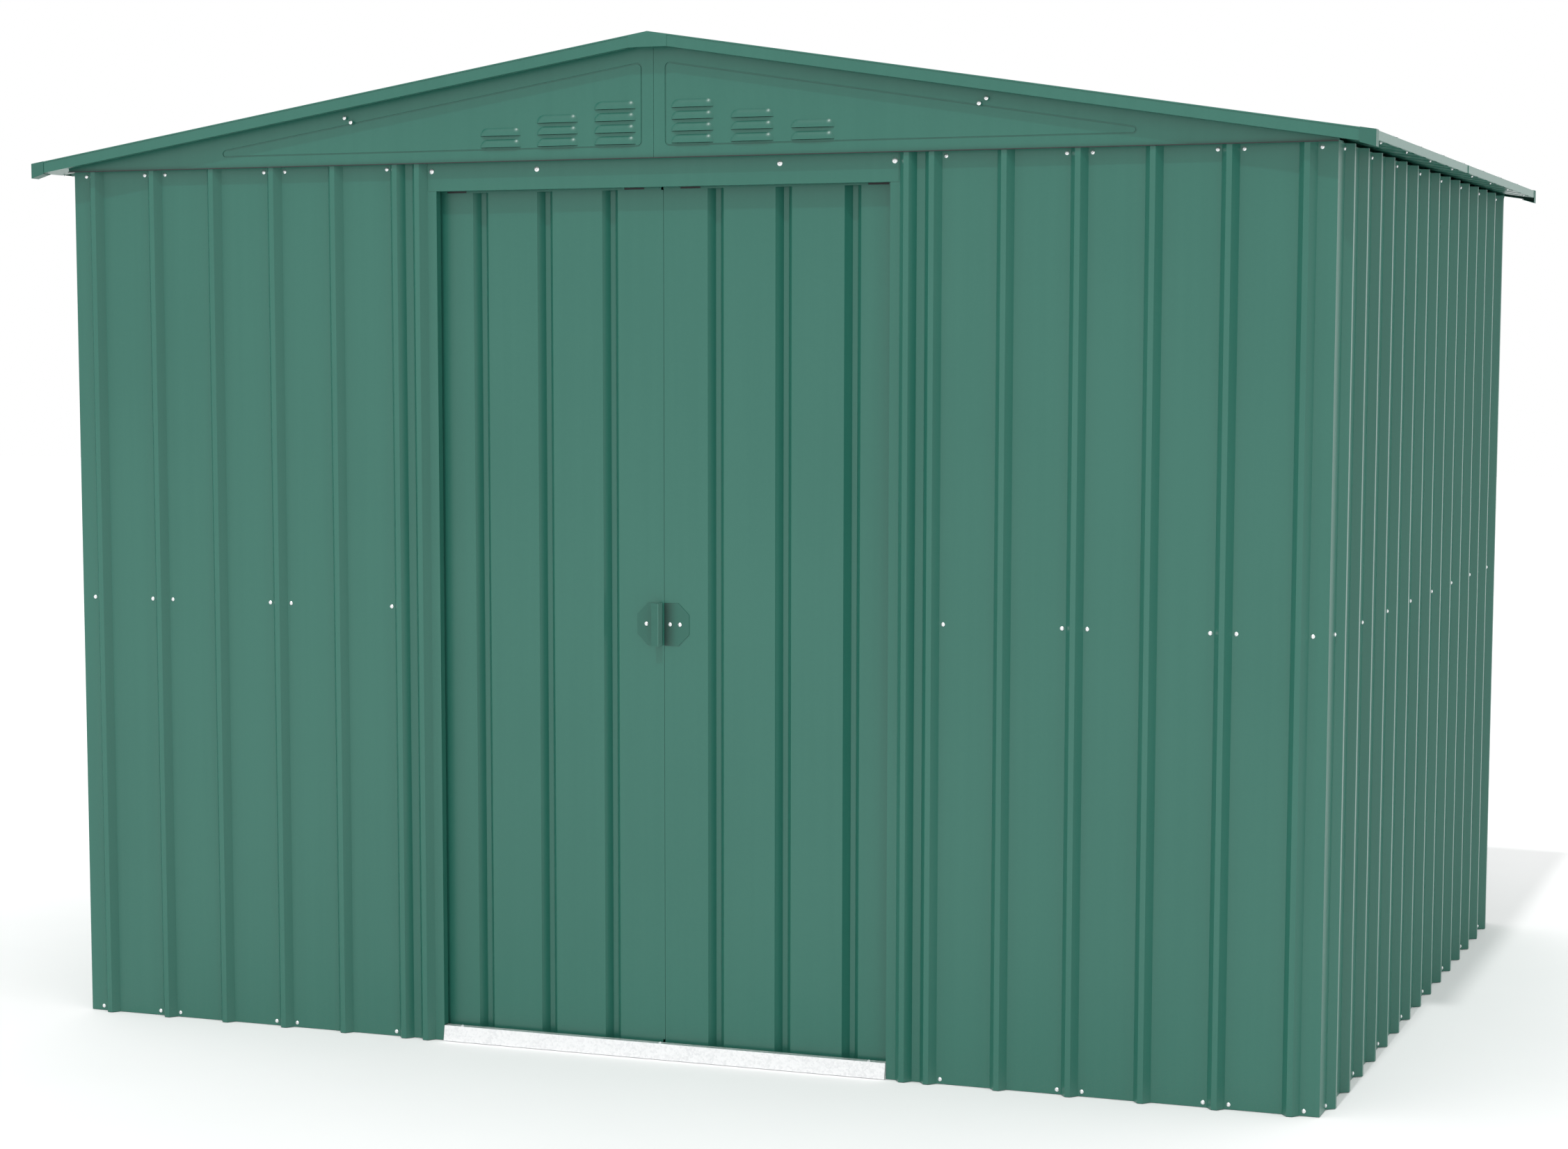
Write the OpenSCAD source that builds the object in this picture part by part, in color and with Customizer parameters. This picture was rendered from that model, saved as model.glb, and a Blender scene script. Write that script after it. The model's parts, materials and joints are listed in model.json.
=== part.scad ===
// Apex-roofed shed of ribbed sheet steel, with two sliding doors in its front wall.
// X runs across the front, Y from front to back and Z up. The origin is on the ground,
// under the middle of the walls. A folded piece is a path of its outer face, made thick.

/* [Body] */
// Width over the flat of the side walls
body_w = 2626; // [2200:2:3200]
// Depth over the flat of the front and back walls
body_d = 2123; // [1700:1:2600]
// Height of the walls, from the ground to the gables
wall_h = 1769; // [1500:1:2200]
// Thickness of the sheet and of all folded strips
sheet = 0.8; // [0.5:0.1:1.2]

/* [Ribs] */
// Distance from rib to rib
rib_pitch = 140; // [110:1:180]
// Height of a wall rib above the flat
rib_height = 15.3; // [8:0.1:20]
// Width of the flat crest of a rib
rib_crest = 10.4; // [6:0.1:20]
// Width of each sloping side of a rib
rib_run = 11.5; // [6:0.1:18]
// Least flat between a wall's last rib and its corner
corner_flat = 30; // [15:1:60]

/* [Roof] */
// Pitch of the roof in degrees
roof_pitch = 9.03; // [6:0.01:14]
// Height of the roof sheet over the top of the side walls
roof_seat = 9.2; // [4:0.1:14]
// Height of a rib on the roof
roof_rib_height = 15.3; // [12:0.1:26]
// How far the roof passes the side walls
roof_side_over = 73; // [50:1:110]
// How far the roof passes the front and back walls
roof_end_over = 46; // [40:1:80]
// Half width of the ridge cap
ridge_cap_half = 40; // [30:1:80]
// How far the verge trims hang below the roof sheet
verge_drop = 4; // [1:0.5:8]
// Height of the eave trim's upright face
eave_face = 16.5; // [12:0.5:18]
// Length of a corner cap along the front
cap_w = 28; // [24:1:40]
// Depth of a corner cap along the side
cap_d = 25; // [20:1:35]
// How far a corner cap hangs below the roof sheet
cap_drop = 11.5; // [6:0.5:16]

/* [Gables] */
// How far a gable passes the side wall
gable_over = 4; // [0:1:10]
// Depth of the bead pressed round each gable's panel
bead_d = 1.5; // [0.8:0.1:3]
// Width of the bead
bead_w = 3; // [2:0.5:6]
// Distance of the bead from the gable's centre seam
panel_side = 25; // [15:1:50]
// Distance of the bead from the gable's lower edge
panel_low = 22.5; // [15:0.5:40]
// Distance of the bead from the roof
panel_top = 33.5; // [20:0.5:45]
// Width of a louvre
louvre_w = 88; // [60:1:110]
// Height of a louvre
louvre_h = 15.5; // [12:0.5:20]
// How far a louvre stands out
louvre_out = 5.5; // [4:0.5:9]
// Distance from louvre to louvre, along the gable
louvre_step_x = 122.3; // [100:0.1:150]
// Distance from louvre to louvre, up the gable
louvre_step_z = 22.4; // [19:0.1:30]
// Columns of louvres in each half
louvre_columns = 3; // [1:1:4]

/* [Doorway] */
// Clear width between the jambs
door_w = 949; // [700:1:1100]
// Height of the header's lower edge
header_z = 1714; // [1400:1:2140]
// Depth of the fold round the doorway
return_d = 18; // [10:1:20]
// Height of the threshold
sill_h = 31; // [24:1:40]
// How far the threshold's foot stands in front of the wall
sill_foot = 6.5; // [2:0.5:12]
// Thickness of the threshold
sill_t = 1.2; // [1:0.1:2]

/* [Doors] */
// Distance of the door faces behind the front wall
door_set = 28; // [26:1:34]
// Depth of a door leaf
leaf_d = 20; // [18:1:24]
// How far a leaf reaches behind its jamb
leaf_lap = 25; // [15:1:60]
// Depth of the grooves pressed into the leaves
groove_d = 15.3; // [8:0.1:18]
// Distance of the first groove from the meeting line
groove_first = 111; // [100:1:140]
// Clearance between the two leaves, and of moving pieces
clear = 5; // [5:0.5:8]
// Running gap under the door hangers
run_gap = 0.3; // [0.2:0.1:0.5]
// Height of the handles' middle
handle_z = 864.5; // [700:0.5:1100]
// Width of the pair of handle plates
handle_w = 110; // [80:1:140]
// Height of a handle plate
handle_h = 84; // [60:1:120]
// How far the pull stands out from the left door
pull_out = 22; // [12:1:24]
// Width of the pull's front
pull_w = 13.5; // [8:0.5:20]
// Thickness of the handle plates
handle_t = 1.2; // [1:0.1:2]
// Width of a door hanger
hanger_w = 42; // [30:1:50]
// Distance of the inner hanger from the meeting line
hanger_in = 59; // [50:1:65]
// Distance of the outer hanger inside the jamb
hanger_out = 32; // [30:1:40]

/* [Frame] */
// Height of the rails' upright leg
rail_h = 30; // [20:1:45]
// Width of the rails' level leg
rail_leg = 25; // [15:1:35]
// Depth of the mid rails
mid_rail_d = 18; // [10:1:20]
// Height of the mid rails
mid_rail_h = 35; // [20:1:50]
// Width of the two door tracks
track_w = 57; // [56:1:64]
// Depth of the top track
track_h = 28; // [26:1:34]
// Depth of the roof beams
beam_h = 40; // [25:1:60]

/* [Hidden] */
$fn = 48;
EPS = 0.5;
FIT = 0.3;
GREEN = [0.29, 0.49, 0.44];
ZINC = [0.80, 0.82, 0.84];
BLACK = [0.08, 0.08, 0.09];

half_w = body_w / 2;
half_d = body_d / 2;
front = -half_d;
rib_foot = rib_crest / 2 + rib_run;
slope = tan(roof_pitch);
sheet_v = sheet / cos(roof_pitch);
ridge_under = wall_h + roof_seat + slope * half_w;
crest_v = (sheet + roof_rib_height) / cos(roof_pitch) + 2 * FIT;
verge_v = crest_v + sheet_v;
roof_x = half_w + roof_side_over;
roof_y = half_d + roof_end_over;
eave_lip = 26;
verge_top_d = 35;
verge_lip_d = 15;
roof_edge_rib = roof_y - sheet - rib_foot - 2;
cap_t = 1.2;
cap_lap = 2;

gable_x = half_w + gable_over;
gable_y = half_d + rib_height;
gable_flange = 20;
gable_foot = 25;
panel_r = 9;
panel_tip_r = 6;
louvre_back = (louvre_h * louvre_h - louvre_out * louvre_out) / (2 * louvre_out);
louvre_r = louvre_out + louvre_back;
louvre_x0 = panel_side + 11.5 + louvre_w / 2;
louvre_z0 = wall_h + panel_low + 4;

jamb_x = door_w / 2;
jamb_rib = jamb_x + 36;
jamb_edge = jamb_rib + rib_foot + 8;
header_x = jamb_rib - rib_foot - 2;

leaf_face = front + door_set;
leaf_in = clear / 2;
leaf_out = jamb_x + leaf_lap;
leaf_bottom = 14;
leaf_top = header_z + 15;
channel_h = leaf_top - header_z + 3.4;
hanger_bottom = leaf_top - channel_h + 0.4;
lap_w = 14.5;

track_in = front + sheet;
track_low = wall_h - track_h;
lip_y = front + door_set + 10;
lip_h = 9;

// ---- Folded sheet ----

// Unit vector to the left of the step from a to b
function left_of(a, b) = [a[1] - b[1], b[0] - a[0]] / norm(b - a);

// A path moved sideways by t to its left, with mitred bends
function moved(path, t) = [
    for (i = [0 : len(path) - 1])
        let (
            last = len(path) - 1,
            before = left_of(path[max(i - 1, 0)], path[max(i, 1)]),
            after = left_of(path[min(i, last - 1)], path[min(i + 1, last)])
        )
        path[i] + t * (before + after) / (1 + before * after)
];

function reversed(list) = [for (i = [len(list) - 1 : -1 : 0]) list[i]];

// Section of a strip: t is its thickness, to the left of the path or, if negative, the right
module strip(path, t = sheet) {
    polygon(concat(path, reversed(moved(path, t))));
}

// Carries a section drawn in Y and Z along X
module along_x(x0, x1) {
    translate([x0, 0, 0])
        rotate([90, 0, 90])
            linear_extrude(x1 - x0) children();
}

// Carries a section drawn in X and Z along Y
module along_y(y0, y1) {
    translate([0, y1, 0])
        rotate([90, 0, 0])
            linear_extrude(y1 - y0) children();
}

module box(low, high) {
    translate(low) cube(high - low);
}

module flip_x() {
    mirror([1, 0, 0]) children();
}

module flip_y() {
    mirror([0, 1, 0]) children();
}

// ---- Ribbed walls ----

// A rib across the path at x, standing h to the right of a path that runs along +X
function rib(x, h) = [
    [x - rib_foot, 0], [x - rib_crest / 2, -h], [x + rib_crest / 2, -h], [x + rib_foot, 0]
];

function ribbed(x0, x1, centres, h) = concat(
    [[x0, 0]],
    [for (x = centres) each rib(x, h)],
    [[x1, 0]]
);

// Places of ribs at whole pitches from the middle of a wall, between two limits
function pitches(low, high) = [
    for (k = [ceil(low / rib_pitch) : floor(high / rib_pitch)]) k * rib_pitch
];

last_rib_x = half_w - corner_flat - rib_foot;
last_rib_y = half_d - corner_flat - rib_foot;

module front_wall() {
    color(GREEN)
        translate([0, front, 0])
            linear_extrude(wall_h)
                strip(ribbed(jamb_edge, half_w,
                    pitches(jamb_edge + rib_foot + 1, last_rib_x), rib_height));
}

module side_wall() {
    reach = half_d - sheet;
    color(GREEN)
        translate([half_w, 0, 0])
            rotate([0, 0, 90])
                linear_extrude(wall_h)
                    strip(ribbed(-reach, reach, pitches(-last_rib_y, last_rib_y), rib_height));
}

module back_wall() {
    color(GREEN)
        translate([0, half_d, 0])
            rotate([0, 0, 180])
                linear_extrude(wall_h)
                    strip(ribbed(-half_w, half_w, pitches(-last_rib_x, last_rib_x), rib_height));
}

// ---- Doorway ----

module door_jamb() {
    color(GREEN) {
        translate([0, front, 0])
            linear_extrude(wall_h)
                strip(ribbed(jamb_x, jamb_edge, [jamb_rib], rib_height));
        box([jamb_x, front, sill_h + 1], [jamb_x + sheet, front + return_d, track_low - 2]);
    }
}

module door_header() {
    color(GREEN) {
        box([-header_x, front - sheet, header_z], [header_x, front, wall_h]);
        box([1 - jamb_x, front - sheet, header_z],
            [jamb_x - 1, front + return_d, header_z + sheet]);
    }
}

module door_threshold() {
    color(ZINC)
        along_x(1 - jamb_x, jamb_x - 1)
            strip([
                [front - sill_foot, 0], [front - 1, sill_h],
                [front + 15, sill_h], [front + 15, sill_h - 6]
            ], -sill_t);
}

// ---- Door tracks ----

module door_track_top() {
    back = track_in + track_w;
    color(ZINC)
        along_x(sheet - half_w, half_w - sheet)
            strip([
                [track_in, track_low], [track_in, wall_h], [back, wall_h],
                [back, track_low], [lip_y, track_low], [lip_y, track_low + lip_h]
            ], -sheet);
}

module door_track_bottom() {
    back = track_in + track_w;
    color(ZINC)
        along_x(sheet - half_w, half_w - sheet)
            strip([
                [track_in, sill_h - sill_t], [track_in, 0], [back, 0], [back, 15]
            ]);
}

// ---- Gables ----

// Height of the roof sheet's underside
function under(x) = ridge_under - slope * abs(x);

function arc(centre, r, from, to, steps) = [
    for (i = [0 : steps])
        let (a = from + (to - from) * i / steps)
        centre + r * [cos(a), sin(a)]
];

// Section between two heights above the roof's underside, on the right of the ridge
module slope_band(x0, x1, low, high) {
    polygon([
        [x0, under(x0) + low], [x1, under(x1) + low],
        [x1, under(x1) + high], [x0, under(x0) + high]
    ]);
}

// The panel's outline: two upright corners by the seam and a long tip by the eave
module panel_outline() {
    low = wall_h + panel_low;
    inner_x = panel_side + panel_r;
    inner_z = under(inner_x) - panel_top - panel_r / cos(roof_pitch);
    tip_drop = panel_tip_r * (1 + 1 / cos(roof_pitch));
    tip_x = (ridge_under - panel_top - low - tip_drop) / slope;
    polygon(concat(
        arc([inner_x, low + panel_r], panel_r, 180, 270, 6),
        arc([tip_x, low + panel_tip_r], panel_tip_r, -90, 90 - roof_pitch, 8),
        arc([inner_x, inner_z], panel_r, 90 - roof_pitch, 180, 6)
    ));
}

// Rounded bar behind a louvre's face, as far back as makes the louvre stand out right
module louvre_bar(r) {
    reach = louvre_w / 2 - louvre_h;
    translate([0, louvre_back, 0]) {
        rotate([0, 90, 0]) cylinder(h = 2 * reach, r = r, center = true);
        for (x = [-reach, reach]) translate([x, 0, 0]) sphere(r);
    }
}

// The part of a louvre's bar that lies above its slit, from y0 to y1
module louvre_part(r, y0, y1, low) {
    intersection() {
        louvre_bar(r);
        box([-louvre_w, y0, low], [louvre_w, y1, louvre_h + EPS]);
    }
}

// A band of that width along the panel's outline
module panel_band(w) {
    difference() {
        offset(delta = w / 2) panel_outline();
        offset(delta = -w / 2) panel_outline();
    }
}

module each_louvre() {
    for (i = [0 : louvre_columns - 1])
        for (k = [0 : louvre_columns - i])
            translate([louvre_x0 + i * louvre_step_x, 0, louvre_z0 + k * louvre_step_z])
                children();
}

// Right half of the front gable
module gable_half() {
    face = -gable_y;
    color(GREEN)
        difference() {
            union() {
                along_y(face, face + sheet)
                    polygon([
                        [FIT, wall_h], [gable_x, wall_h],
                        [gable_x, under(gable_x)], [FIT, under(FIT)]
                    ]);
                along_y(face + sheet - EPS, face + sheet + bead_d)
                    panel_band(bead_w + 2 * sheet);
                box([FIT, face, wall_h], [gable_x, front + gable_foot, wall_h + sheet]);
                along_y(face, face + sheet + gable_flange)
                    slope_band(FIT, gable_x, -sheet_v, 0);
                translate([0, face, 0])
                    each_louvre() louvre_part(louvre_r, -louvre_out, sheet, 0);
            }
            along_y(face - EPS, face + bead_d) panel_band(bead_w);
            translate([0, face, 0])
                each_louvre() louvre_part(louvre_r - sheet, -louvre_out, 2 * sheet, -EPS);
        }
}

// ---- Roof ----

// Right half of the roof: ribs run down the slope, and each end has a rib under its trim.
// It lies a hair above what carries it, and as far below the trim's top.
module roof_half() {
    ribs = concat([-roof_edge_rib], pitches(-last_rib_y, last_rib_y), [roof_edge_rib]);
    path = ribbed(sheet - roof_y, roof_y - sheet, ribs, -roof_rib_height);
    color(GREEN)
        intersection() {
            translate([0, 0, ridge_under + FIT])
                rotate([0, roof_pitch, 0])
                    along_x(-50, 1.1 * roof_x) strip(path);
            box([1, -roof_y, wall_h - 100], [roof_x - sheet - FIT, roof_y, ridge_under + 100]);
        }
}

// Section across the ridge, between two heights above the roof's underside
module chevron(reach, low, high) {
    polygon([
        [-reach, under(reach) + low], [0, under(0) + low], [reach, under(reach) + low],
        [reach, under(reach) + high], [0, under(0) + high], [-reach, under(reach) + high]
    ]);
}

// Folded cap over the ridge, with an end plate that is cut level with the verges
module ridge_cap() {
    end = roof_y + sheet;
    high = verge_v + sheet_v;
    edge = under(ridge_cap_half);
    low = edge - verge_drop - sheet_v;
    color(GREEN) {
        along_y(-end, end) chevron(ridge_cap_half, verge_v, high);
        for (y = [-end, roof_y])
            along_y(y, y + sheet)
                polygon([
                    [-ridge_cap_half, low], [ridge_cap_half, low],
                    [ridge_cap_half, edge + high], [0, ridge_under + high],
                    [-ridge_cap_half, edge + high]
                ]);
    }
}

// Front verge trim on the right: a channel round the edge of the roof sheet
module verge() {
    end = roof_x - cap_w + cap_lap;
    low = -verge_drop - sheet_v;
    color(GREEN) {
        along_y(-roof_y, sheet - roof_y) slope_band(FIT, end, low, verge_v);
        along_y(-roof_y, verge_top_d - roof_y) slope_band(FIT, end, crest_v, verge_v);
        along_y(-roof_y, verge_lip_d - roof_y) slope_band(FIT, end, low, -verge_drop);
    }
}

// Front piece of the right eave trim, from the corner cap to mid-depth: it lies on the
// roof's ribs and closes their ends
module eave() {
    foot = roof_x - eave_lip;
    high = under(roof_x) + verge_v;
    color(GREEN)
        along_y(cap_d - cap_lap - roof_y, -FIT)
            strip([
                [foot, under(foot) + verge_v], [roof_x, high], [roof_x, high - eave_face]
            ], -sheet);
}

// Cap over the meeting of the front verge and the right eave
module corner_cap() {
    in_x = roof_x - cap_w;
    out_x = roof_x + cap_t;
    in_low = under(in_x) - verge_drop - sheet_v - 2 * cap_t;
    out_low = under(roof_x) - cap_drop;
    color(GREEN)
        difference() {
            along_y(-roof_y - cap_t, cap_d - roof_y)
                polygon([
                    [in_x, in_low], [out_x, out_low],
                    [out_x, under(out_x) + verge_v + cap_t],
                    [in_x, under(in_x) + verge_v + cap_t]
                ]);
            along_y(-roof_y, cap_d + 1 - roof_y)
                polygon([
                    [in_x - 1, in_low + 1.5 * cap_t], [roof_x, out_low + 1.5 * cap_t],
                    [roof_x, under(roof_x) + verge_v],
                    [in_x - 1, under(in_x - 1) + verge_v]
                ]);
        }
}

// ---- Frame inside the walls ----

module base_rails() {
    wall_in = half_w - sheet;
    back_in = half_d - sheet;
    rail_front = track_in + track_w + FIT;
    color(ZINC) {
        for (side = [0, 1])
            mirror([side, 0, 0])
                along_y(rail_front, back_in)
                    strip([[wall_in, rail_h], [wall_in, 0], [wall_in - rail_leg, 0]], -sheet);
        along_x(rail_leg + EPS - wall_in, wall_in - rail_leg - EPS)
            strip([[back_in, rail_h], [back_in, 0], [back_in - rail_leg, 0]], -sheet);
    }
}

module wall_top_rails() {
    wall_in = half_w - sheet;
    back_in = half_d - sheet;
    rail_front = track_in + track_w + FIT;
    color(ZINC) {
        for (side = [0, 1])
            mirror([side, 0, 0])
                along_y(rail_front, back_in - rail_leg - EPS)
                    strip([
                        [wall_in, wall_h - rail_h], [wall_in, wall_h],
                        [wall_in - rail_leg, wall_h]
                    ]);
        along_x(-wall_in, wall_in)
            strip([[back_in, wall_h - rail_h], [back_in, wall_h], [back_in - rail_leg, wall_h]]);
    }
}

// Section of a mid rail with its web on the wall at w, open towards the inside
module mid_rail_section(w) {
    middle = wall_h / 2;
    high = middle + mid_rail_h / 2;
    low = middle - mid_rail_h / 2;
    strip([[w - mid_rail_d, high], [w, high], [w, low], [w - mid_rail_d, low]], -sheet);
}

module mid_rails_side() {
    wall_in = half_w - sheet;
    color(ZINC)
        for (side = [0, 1])
            mirror([side, 0, 0])
                along_y(track_in + mid_rail_d + FIT, half_d - sheet) mid_rail_section(wall_in);
}

module mid_rail_back() {
    reach = half_w - sheet - mid_rail_d - FIT;
    color(ZINC) along_x(-reach, reach) mid_rail_section(half_d - sheet);
}

module mid_rails_front() {
    color(ZINC)
        flip_y()
            for (side = [0, 1])
                mirror([side, 0, 0])
                    along_x(jamb_x + 6, half_w - sheet) mid_rail_section(half_d - sheet);
}

module roof_beams() {
    reach = gable_y - sheet - gable_flange;
    beam_x = half_w / 2;
    color(ZINC) {
        for (side = [0, 1])
            mirror([side, 0, 0])
                along_y(-reach, reach)
                    strip([
                        [beam_x + rail_leg, under(beam_x + rail_leg)], [beam_x, under(beam_x)],
                        [beam_x, under(beam_x) - beam_h],
                        [beam_x + rail_leg, under(beam_x) - beam_h]
                    ]);
        along_y(-reach, reach) {
            chevron(rail_leg, -sheet_v, 0);
            translate([-sheet / 2, ridge_under - beam_h]) square([sheet, beam_h - sheet_v]);
        }
    }
}

// ---- Doors ----

// Middles of the two hangers of the right leaf
hangers = [hanger_in, jamb_x - hanger_out];

module hanger_notches(y0, y1) {
    for (x = hangers)
        box([x - hanger_w / 2, y0, hanger_bottom], [x + hanger_w / 2, y1, leaf_top + 1]);
}

// Right leaf: flat face, three grooves pressed in, and a fold down its outer edge
module door_leaf() {
    last = leaf_out - rib_foot - 20;
    grooves = [for (x = [groove_first : rib_pitch : last]) x];
    path = concat(
        ribbed(leaf_in, leaf_out, grooves, -groove_d),
        [[leaf_out, leaf_d]]
    );
    color(GREEN)
        difference() {
            translate([0, leaf_face, leaf_bottom + sheet])
                linear_extrude(leaf_top - leaf_bottom - 2 * sheet) strip(path);
            hanger_notches(leaf_face - 1, leaf_face + 2);
        }
}

// Angle on the right leaf's edge that closes the gap behind the left leaf's edge
module door_lap_strip() {
    lap_y = leaf_face + sheet + clear;
    low = leaf_bottom + channel_h + clear;
    high = leaf_top - channel_h - clear;
    color(GREEN)
        translate([0, 0, low])
            linear_extrude(high - low)
                strip([
                    [leaf_in - lap_w, lap_y], [leaf_in, lap_y],
                    [leaf_in, leaf_face + sheet]
                ]);
}

// Channels over the top and bottom edges of the right leaf
module door_channels() {
    y0 = leaf_face - sheet;
    y1 = leaf_face + leaf_d + 2 * sheet;
    color(GREEN) {
        difference() {
            along_x(leaf_in, leaf_out)
                strip([
                    [y0, leaf_top - channel_h], [y0, leaf_top],
                    [y1, leaf_top], [y1, leaf_top - channel_h]
                ], -sheet);
            hanger_notches(y0 - 1, y1 - 3);
        }
        along_x(leaf_in, leaf_out)
            strip([
                [y0, leaf_bottom + channel_h - 3], [y0, leaf_bottom],
                [y1, leaf_bottom], [y1, leaf_bottom + channel_h - 3]
            ]);
    }
}

// Half of an octagonal plate on the right leaf
module handle_plate() {
    edge = leaf_in + FIT;
    out = handle_w / 2;
    high = handle_h / 2;
    chamfer = handle_h * 0.27;
    translate([0, 0, handle_z])
        along_y(leaf_face - handle_t, leaf_face)
            polygon([
                [edge, -high], [out - chamfer, -high], [out, chamfer - high],
                [out, high - chamfer], [out - chamfer, high], [edge, high]
            ]);
}

module door_handle_right() {
    color(GREEN) handle_plate();
}

// The left plate carries the pull, an angle that stands out along the meeting edge
module door_handle_left() {
    edge = leaf_in + FIT;
    color(GREEN)
        flip_x() {
            handle_plate();
            translate([0, leaf_face, handle_z - handle_h / 2])
                linear_extrude(handle_h)
                    strip([[edge, 0], [edge, -pull_out], [edge + pull_w, -pull_out]], -handle_t);
        }
}

// A hanger stands in its notch, passes over the track's lip and slides in the track
module hanger_section() {
    neck_y = leaf_face + 0.5;
    foot_y = lip_y + sheet + clear;
    heel_y = track_in + track_w - sheet - clear;
    bridge_z = wall_h - sheet - clear - 0.5;
    polygon([
        [leaf_face - 0.6, hanger_bottom], [leaf_face + leaf_d - 2, hanger_bottom],
        [leaf_face + leaf_d - 2, leaf_top + 2], [lip_y - clear, leaf_top + 2],
        [lip_y - clear, bridge_z - 6], [foot_y, bridge_z - 6],
        [foot_y, track_low + sheet + run_gap], [heel_y, track_low + sheet + run_gap],
        [heel_y, bridge_z], [neck_y, bridge_z],
        [neck_y, leaf_top + 2], [leaf_face - 0.6, leaf_top + 2]
    ]);
}

module door_hangers() {
    color(BLACK)
        for (x = hangers)
            along_x(x - hanger_w / 2 + FIT, x + hanger_w / 2 - FIT) hanger_section();
}

flip_x() front_wall();  // front_wall_left
front_wall();  // front_wall_right
flip_x() side_wall();  // left_wall
side_wall();  // right_wall
back_wall();
flip_x() door_jamb();  // door_jamb_left
door_jamb();  // door_jamb_right
door_header();
flip_x() gable_half();  // front_gable_left
gable_half();  // front_gable_right
flip_y() flip_x() gable_half();  // back_gable_left
flip_y() gable_half();  // back_gable_right
flip_x() roof_half();  // roof_left
roof_half();  // roof_right
ridge_cap();
flip_x() verge();  // front_verge_left
verge();  // front_verge_right
flip_y() flip_x() verge();  // back_verge_left
flip_y() verge();  // back_verge_right
flip_x() eave();  // left_eave_front
flip_y() flip_x() eave();  // left_eave_back
eave();  // right_eave_front
flip_y() eave();  // right_eave_back
flip_x() corner_cap();  // corner_cap_front_left
corner_cap();  // corner_cap_front_right
flip_y() flip_x() corner_cap();  // corner_cap_back_left
flip_y() corner_cap();  // corner_cap_back_right
door_track_top();
door_track_bottom();
door_threshold();
base_rails();
wall_top_rails();
roof_beams();
mid_rails_side();
mid_rail_back();
mid_rails_front();
flip_x() door_leaf();  // door_leaf_left
door_leaf();  // door_leaf_right
door_lap_strip();
flip_x() door_channels();  // door_channels_left
door_channels();  // door_channels_right
door_handle_left();
door_handle_right();
flip_x() door_hangers();  // door_hangers_left
door_hangers();  // door_hangers_right
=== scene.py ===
# %% [markdown]
# # A sheet-steel shed with sliding doors
# The shed's sheets, trims, doors and rails come packed from the design as a fixed frame.
# This lesson dresses that frame. It builds the camera and a soft studio, writes the coil
# coating, the galvanised steel and the nylon as node materials, and adds what the frame
# leaves out, such as screws, washers and sealant. Some colour is painted light: a painted
# shadow and a painted highlight at the door's pull, and dark tape as the shadow line under the
# gables.
# Each cell says what the real thing is, how it could be made and why it is made this way.

# %% Load the imported frame
import json
import math
import bmesh
import bpy
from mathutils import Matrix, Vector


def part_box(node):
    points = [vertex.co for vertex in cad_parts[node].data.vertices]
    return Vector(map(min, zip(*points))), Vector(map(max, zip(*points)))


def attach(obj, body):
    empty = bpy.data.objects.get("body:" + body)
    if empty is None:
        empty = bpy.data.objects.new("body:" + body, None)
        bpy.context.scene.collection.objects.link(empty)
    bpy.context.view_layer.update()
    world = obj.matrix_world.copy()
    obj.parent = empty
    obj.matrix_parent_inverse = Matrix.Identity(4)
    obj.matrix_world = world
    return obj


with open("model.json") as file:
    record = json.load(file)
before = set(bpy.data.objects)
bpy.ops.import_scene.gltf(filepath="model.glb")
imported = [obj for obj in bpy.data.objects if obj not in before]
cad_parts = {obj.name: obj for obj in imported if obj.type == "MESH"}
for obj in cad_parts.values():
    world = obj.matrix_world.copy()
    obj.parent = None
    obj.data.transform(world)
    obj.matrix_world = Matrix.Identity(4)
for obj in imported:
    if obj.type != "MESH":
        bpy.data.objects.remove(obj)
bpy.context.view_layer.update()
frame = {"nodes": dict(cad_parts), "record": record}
MM = 0.001

# %% [markdown]
# ## Driving sizes
# Everything that is added sits on the frame, so its place is worked out from the corners
# of the frame's nodes. Only a few sizes can't be read from a corner: the pitch of the
# ribs, their width, and where a screw stands beside a rib.

# %% Sizes read from the frame
wall_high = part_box("front_wall_right")[1]

SHEET = 0.8 * MM
RIB_PITCH = 140 * MM
RIB_HEIGHT = 15.3 * MM
SCREW_BESIDE = 24 * MM
ROOF_SLOPE = math.radians(9.03)

wall_top = wall_high.z
half_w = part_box("right_wall")[1].x - RIB_HEIGHT
half_d = SHEET - wall_high.y
ridge_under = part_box("front_gable_right")[1].z
print("walls", round(2 * half_w, 4), "by", round(2 * half_d, 4),
      "and", round(wall_top, 4), "m high")


def roof_under(x):
    """Height of the roof sheet's underside over x."""
    return ridge_under - math.tan(ROOF_SLOPE) * abs(x)


# %% [markdown]
# ## Camera
# A long lens far away keeps upright edges nearly parallel. The camera stands at chest
# height, front right of the shed. The small shift slides the picture in its frame
# without tilting the camera, as a view camera's rising front does.

# %% Camera
LENS, SENSOR = 71.486, 36.0
SHIFT = (0.0297, 0.0678)
SEES_TO = 100.0
CAMERA_PLACE = (2.354, -6.663, 1.389)
CAMERA_TURN = (84.044, -0.007, 21.327)


def turned(degrees):
    """Three angles in degrees, as Blender wants them."""
    return [math.radians(angle) for angle in degrees]


camera_data = bpy.data.cameras.new("camera")
camera_data.lens = LENS
camera_data.sensor_width = SENSOR
camera_data.shift_x, camera_data.shift_y = SHIFT
camera_data.clip_end = SEES_TO
camera = bpy.data.objects.new("camera", camera_data)
camera.location = CAMERA_PLACE
camera.rotation_euler = turned(CAMERA_TURN)
bpy.context.scene.collection.objects.link(camera)
bpy.context.scene.camera = camera
print("camera at", tuple(round(v, 3) for v in camera.location))

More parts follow.
